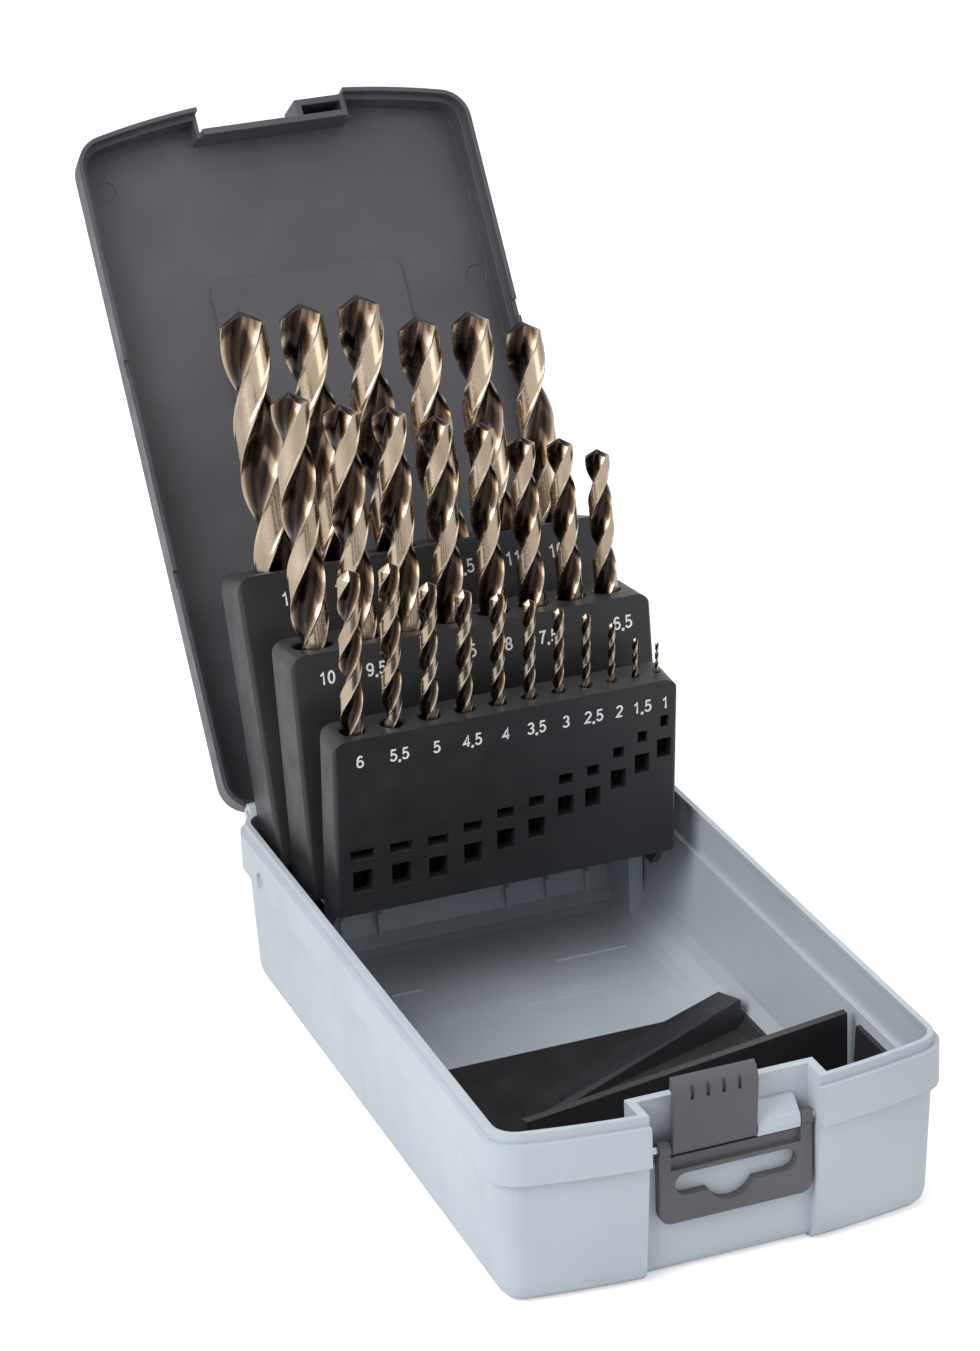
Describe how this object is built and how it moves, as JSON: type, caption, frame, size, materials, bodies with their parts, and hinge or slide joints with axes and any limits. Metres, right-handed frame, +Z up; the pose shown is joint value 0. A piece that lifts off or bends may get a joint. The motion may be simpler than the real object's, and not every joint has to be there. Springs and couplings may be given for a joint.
{
  "type": "drill bit case",
  "caption": "Two-part plastic case standing open, with three stepped drill holders that fold up with the lid, a tip stop, a front latch and a fold-out hanger.",
  "frame": {"origin": "centre of the tray's bottom face", "axes": "+X to the right seen from the front, +Y to the back where the lid is hinged, +Z up"},
  "size_m": [0.117, 0.3208, 0.2124],
  "materials": {
    "tray_plastic": "fine moulded grain",
    "dark_plastic": "fine moulded grain",
    "black_plastic": "satin moulded",
    "pin_steel": "drawn",
    "drill_steel": "ground, straw tinted"
  },
  "bodies": {
    "case": {"tray": "tray_plastic", "hinge_pins": "pin_steel", "pivot_pins": "pin_steel", "tip_stop": "black_plastic", "latch_pin": "pin_steel"},
    "lid_body": {"lid": "dark_plastic"},
    "front_row": {"front_holder": "black_plastic", "drill_6_0": "drill_steel", "drill_5_5": "drill_steel", "drill_5_0": "drill_steel", "drill_4_5": "drill_steel", "drill_4_0": "drill_steel", "drill_3_5": "drill_steel", "drill_3_0": "drill_steel", "drill_2_5": "drill_steel", "drill_2_0": "drill_steel", "drill_1_5": "drill_steel", "drill_1_0": "drill_steel"},
    "middle_row": {"middle_holder": "black_plastic", "drill_10_0": "drill_steel", "drill_9_5": "drill_steel", "drill_9_0": "drill_steel", "drill_8_5": "drill_steel", "drill_8_0": "drill_steel", "drill_7_5": "drill_steel", "drill_7_0": "drill_steel", "drill_6_5": "drill_steel"},
    "rear_row": {"rear_holder": "black_plastic", "drill_13_0": "drill_steel", "drill_12_5": "drill_steel", "drill_12_0": "drill_steel", "drill_11_5": "drill_steel", "drill_11_0": "drill_steel", "drill_10_5": "drill_steel"},
    "latch_body": {"latch": "dark_plastic"},
    "hanger_body": {"hanger": "dark_plastic"}
  },
  "joints": [
    {"name": "lid_hinge", "type": "hinge", "parent": "case", "child": "lid_body", "pos_m": [0, 0.0976, 0.0457], "axis": [1, 0, 0], "range_deg": [0, 124]},
    {"name": "front_row_pivot", "type": "hinge", "parent": "case", "child": "front_row", "pos_m": [0, 0.0735, 0.0367], "axis": [1, 0, 0], "range_deg": [0, 85]},
    {"name": "middle_row_pivot", "type": "hinge", "parent": "case", "child": "middle_row", "pos_m": [0, 0.0735, 0.0367], "axis": [1, 0, 0], "range_deg": [0, 96]},
    {"name": "rear_row_pivot", "type": "hinge", "parent": "case", "child": "rear_row", "pos_m": [0, 0.0735, 0.0367], "axis": [1, 0, 0], "range_deg": [0, 107.5]},
    {"name": "latch_hinge", "type": "hinge", "parent": "case", "child": "latch_body", "pos_m": [0, -0.0974, 0.0355], "axis": [1, 0, 0], "range_deg": [-5, 35]},
    {"name": "hanger_hinge", "type": "hinge", "parent": "case", "child": "hanger_body", "pos_m": [0, -0.0974, 0.0355], "axis": [-1, 0, 0], "range_deg": [0, 90]}
  ],
  "couplings": [
    {"joint": "front_row_pivot", "follows": "lid_hinge", "ratio": 0.68548},
    {"joint": "middle_row_pivot", "follows": "lid_hinge", "ratio": 0.77419},
    {"joint": "rear_row_pivot", "follows": "lid_hinge", "ratio": 0.86693}
  ]
}
